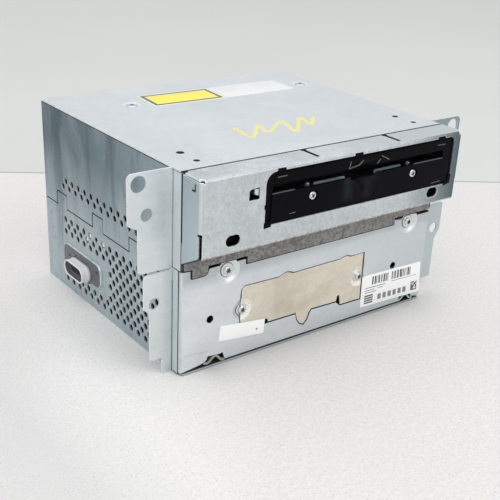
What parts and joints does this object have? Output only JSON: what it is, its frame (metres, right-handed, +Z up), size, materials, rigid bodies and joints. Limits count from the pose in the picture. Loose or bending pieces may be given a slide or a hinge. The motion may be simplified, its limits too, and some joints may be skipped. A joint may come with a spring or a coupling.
{
  "type": "car navigation head unit",
  "caption": "Galvanised steel car head unit: disc drive behind a slotted black fascia above a hard disk bay, front mounting ears, perforated sides and rear connectors.",
  "frame": {"origin": "middle of the overall width and depth, on the surface the case stands on", "axes": "+X to the right seen from the front, +Y from the disc slot to the rear connectors, +Z up"},
  "size_m": [0.23, 0.1806, 0.1125],
  "materials": {
    "galvanised_top": "smooth galvanised sheet",
    "galvanised_side": "galvanised sheet, satin",
    "galvanised_front": "galvanised sheet, fine grain",
    "tan_plate": "satin, warm tint",
    "black_plastic": "moulded, matt",
    "port_flange": "satin grey",
    "port_plastic": "moulded, satin",
    "yellow_label": "printed, no lettering",
    "white_label": "printed, no lettering",
    "bright_screw": "bright zinc plate",
    "blue_plastic": "moulded",
    "circuit_board": "green solder mask",
    "aluminium": "as cast",
    "mechanism_steel": "plain pressed sheet",
    "black_rubber": "matt",
    "white_plastic": "moulded acetal",
    "brass": "turned",
    "flat_cable": "flexible film"
  },
  "bodies": {
    "chassis": {"top_cover": "galvanised_top", "upper_side_left": "galvanised_side", "upper_side_right": "galvanised_side", "lower_side_left": "galvanised_side", "lower_side_right": "galvanised_side", "base_pan": "galvanised_side", "rear_panel": "galvanised_side", "front_post_left": "galvanised_front", "front_post_right": "galvanised_front", "drive_bezel": "galvanised_front", "slot_fascia": "black_plastic", "lower_front_plate": "galvanised_front", "hdd_access_cover": "tan_plate", "side_port_flange": "port_flange", "side_port_spigot": "port_plastic", "top_label_yellow": "yellow_label", "top_label_white": "white_label", "front_label_bars": "white_label", "front_label_blank": "white_label", "fascia_screw_left": "bright_screw", "fascia_screw_right": "bright_screw", "plate_screw_left": "bright_screw", "plate_screw_right": "bright_screw", "cover_screw_left": "bright_screw", "cover_screw_right": "bright_screw", "top_screw_left": "bright_screw", "top_screw_right": "bright_screw", "main_connector": "black_plastic", "coax_connector": "blue_plastic", "fan_housing": "black_plastic", "main_board": "circuit_board", "heat_sink": "aluminium", "hard_disk_drive": "aluminium", "hdd_tray": "mechanism_steel", "drive_carrier": "mechanism_steel", "damper_front_left": "black_rubber", "damper_front_right": "black_rubber", "damper_rear_left": "black_rubber", "damper_rear_right": "black_rubber", "drive_deck": "mechanism_steel", "upper_disc_guide": "mechanism_steel", "spindle_motor": "mechanism_steel", "clamp_bracket": "mechanism_steel", "loading_motor": "mechanism_steel", "guide_rod": "mechanism_steel", "sled_motor": "mechanism_steel", "ribbon_cable": "flat_cable"},
    "fan": {"fan_rotor": "black_plastic"},
    "spindle": {"turntable": "black_plastic"},
    "clamp": {"clamp_arm": "mechanism_steel"},
    "puck": {"clamp_puck": "black_plastic"},
    "left_lever": {"disc_lever_left": "mechanism_steel"},
    "right_lever": {"disc_lever_right": "mechanism_steel"},
    "roller": {"roller_shaft": "mechanism_steel", "roller_sleeve": "black_rubber", "roller_gear": "white_plastic"},
    "idler": {"idler_gear": "white_plastic"},
    "pinion": {"motor_pinion": "brass"},
    "sled": {"pickup_sled": "black_plastic"},
    "screw": {"lead_screw": "mechanism_steel"}
  },
  "joints": [
    {"name": "fan_spin", "type": "hinge", "parent": "chassis", "child": "fan", "pos_m": [-0.05, 0.0713, 0.026], "axis": [0, 1, 0], "continuous": true},
    {"name": "spindle_spin", "type": "hinge", "parent": "chassis", "child": "spindle", "pos_m": [0.0145, -0.00115, 0.0958], "axis": [0, 0, 1], "continuous": true},
    {"name": "clamp_swing", "type": "hinge", "parent": "chassis", "child": "clamp", "pos_m": [0.0145, 0.07085, 0.1034], "axis": [1, 0, 0], "range_deg": [0, 4.9]},
    {"name": "puck_spin", "type": "hinge", "parent": "clamp", "child": "puck", "pos_m": [0.0145, -0.00114, 0.10656], "axis": [0, 0.0854, 0.9963], "continuous": true},
    {"name": "left_lever_swing", "type": "hinge", "parent": "chassis", "child": "left_lever", "pos_m": [-0.0235, 0.06585, 0.1044], "axis": [0, 0, 1], "range_deg": [-10, 0], "stiffness_Nm_per_rad": 0.01},
    {"name": "right_lever_swing", "type": "hinge", "parent": "chassis", "child": "right_lever", "pos_m": [0.0525, 0.06585, 0.1044], "axis": [0, 0, 1], "range_deg": [0, 10], "stiffness_Nm_per_rad": 0.01},
    {"name": "roller_spin", "type": "hinge", "parent": "chassis", "child": "roller", "pos_m": [0.0145, -0.06815, 0.0952], "axis": [1, 0, 0], "continuous": true},
    {"name": "idler_spin", "type": "hinge", "parent": "chassis", "child": "idler", "pos_m": [-0.0505, -0.06015, 0.08887], "axis": [1, 0, 0], "continuous": true},
    {"name": "pinion_spin", "type": "hinge", "parent": "chassis", "child": "pinion", "pos_m": [-0.0505, -0.05115, 0.08887], "axis": [1, 0, 0], "continuous": true},
    {"name": "sled_slide", "type": "slide", "parent": "chassis", "child": "sled", "axis": [0, 1, 0], "range_m": [0, 0.033]},
    {"name": "lead_screw_spin", "type": "hinge", "parent": "chassis", "child": "screw", "pos_m": [0.0365, 0.03885, 0.087], "axis": [0, 1, 0], "range_deg": [-5, 3965]}
  ],
  "couplings": [
    {"joint": "puck_spin", "follows": "spindle_spin", "ratio": 1},
    {"joint": "right_lever_swing", "follows": "left_lever_swing", "ratio": -1},
    {"joint": "idler_spin", "follows": "roller_spin", "ratio": -0.7},
    {"joint": "pinion_spin", "follows": "roller_spin", "ratio": 1.4},
    {"joint": "lead_screw_spin", "follows": "sled_slide", "rad_per_m": 2094.4}
  ]
}
